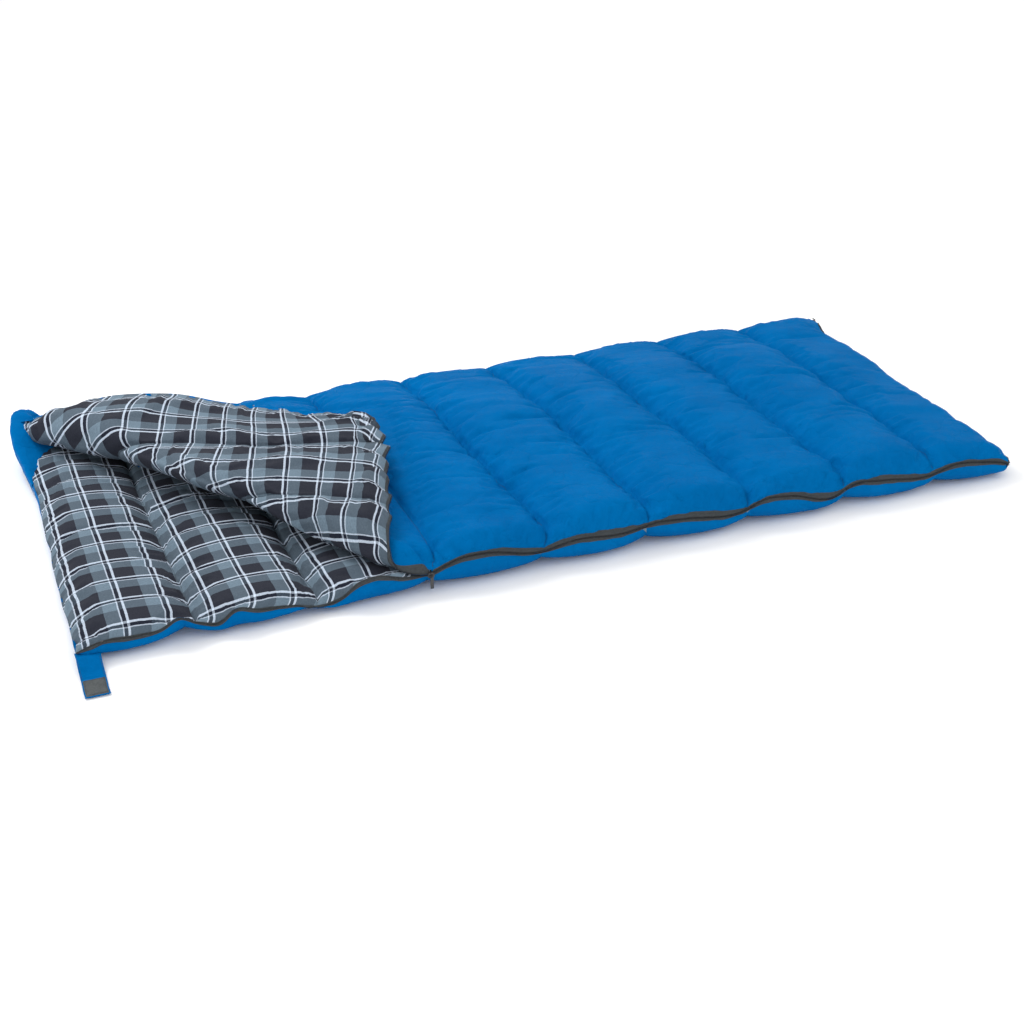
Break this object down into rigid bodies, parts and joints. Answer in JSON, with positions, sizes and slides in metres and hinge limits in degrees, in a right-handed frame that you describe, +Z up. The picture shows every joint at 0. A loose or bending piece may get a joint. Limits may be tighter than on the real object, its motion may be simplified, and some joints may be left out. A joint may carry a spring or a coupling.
{
  "type": "rectangular sleeping bag",
  "caption": "Rectangular quilted sleeping bag with a plaid liner, a side zip run part way down and one corner of the upper quilt folded back.",
  "frame": {"origin": "on the floor under the middle of the zipped bag, on the flat underside of the bottom shell", "axes": "+X from the head end to the foot end, +Y to the closed long side (the zip is on the -Y side), +Z up"},
  "size_m": [1.9103, 0.9513, 0.1355],
  "materials": {
    "shell_blue": "soft satin woven polyester, quilted",
    "filling_white": "lofted hollow-fibre wadding",
    "liner_plaid": "brushed plaid flannel in charcoal, slate, pale grey and white",
    "thread_blue": "matte sewing thread",
    "thread_grey": "matte sewing thread",
    "zip_tape": "matte woven tape",
    "zip_coil": "satin nylon coil",
    "slider_metal": "dark satin die-cast metal",
    "hook_pile": "matte hook-and-loop pile"
  },
  "bodies": {
    "bottom_quilt": {"bottom_filling": "filling_white", "bottom_liner": "liner_plaid", "bottom_quilting_1": "thread_grey", "bottom_quilting_2": "thread_grey", "bottom_quilting_3": "thread_grey", "bottom_quilting_4": "thread_grey", "bottom_quilting_5": "thread_grey", "bottom_quilting_6": "thread_grey", "bottom_quilting_7": "thread_grey", "bottom_quilting_8": "thread_grey", "bottom_shell": "shell_blue", "lower_top_stop": "slider_metal", "lower_zip_coil": "zip_coil", "lower_zip_tape": "zip_tape", "retainer_box": "zip_coil", "spine_shell": "shell_blue", "strap_root": "shell_blue"},
    "top_quilt": {"insertion_pin": "zip_coil", "top_filling": "filling_white", "top_liner": "liner_plaid", "top_quilting_1": "thread_blue", "top_quilting_2": "thread_blue", "top_quilting_3": "thread_blue", "top_quilting_4": "thread_blue", "top_quilting_5": "thread_blue", "top_quilting_6": "thread_blue", "top_quilting_7": "thread_blue", "top_quilting_8": "thread_blue", "top_shell": "shell_blue", "upper_zip_coil": "zip_coil", "upper_zip_tape": "zip_tape"},
    "flap": {"flap_filling": "filling_white", "flap_liner": "liner_plaid", "flap_quilting_1": "thread_blue", "flap_quilting_2": "thread_blue", "flap_shell": "shell_blue", "flap_top_stop": "slider_metal", "flap_zip_coil": "zip_coil", "flap_zip_tape": "zip_tape", "loop_patch": "hook_pile"},
    "slider": {"slider_body": "slider_metal"},
    "pull_tab": {"pull_tab": "slider_metal"},
    "closure_tab": {"closure_strap": "shell_blue", "hook_patch": "hook_pile"}
  },
  "joints": [
    {"name": "top_quilt_open", "type": "hinge", "parent": "bottom_quilt", "child": "top_quilt", "pos_m": [0, 0.4206, 0.044], "axis": [-1, 0, 0], "range_deg": [0, 180]},
    {"name": "flap_fold", "type": "hinge", "parent": "top_quilt", "child": "flap", "pos_m": [-0.3175, -0.419, 0.088], "axis": [0.6039, -0.797, 0], "range_deg": [0, 180]},
    {"name": "zip_slide", "type": "slide", "parent": "bottom_quilt", "child": "slider", "axis": [-1, 0, 0], "range_m": [-1.23, 0.575]},
    {"name": "pull_swing", "type": "hinge", "parent": "slider", "child": "pull_tab", "pos_m": [-0.3175, -0.4281, 0.039], "axis": [-1, 0, 0], "range_deg": [0, 150]},
    {"name": "closure_tab_lift", "type": "hinge", "parent": "bottom_quilt", "child": "closure_tab", "pos_m": [-0.9315, -0.427, 0.018], "axis": [-1, 0, 0], "range_deg": [0, 100]}
  ]
}
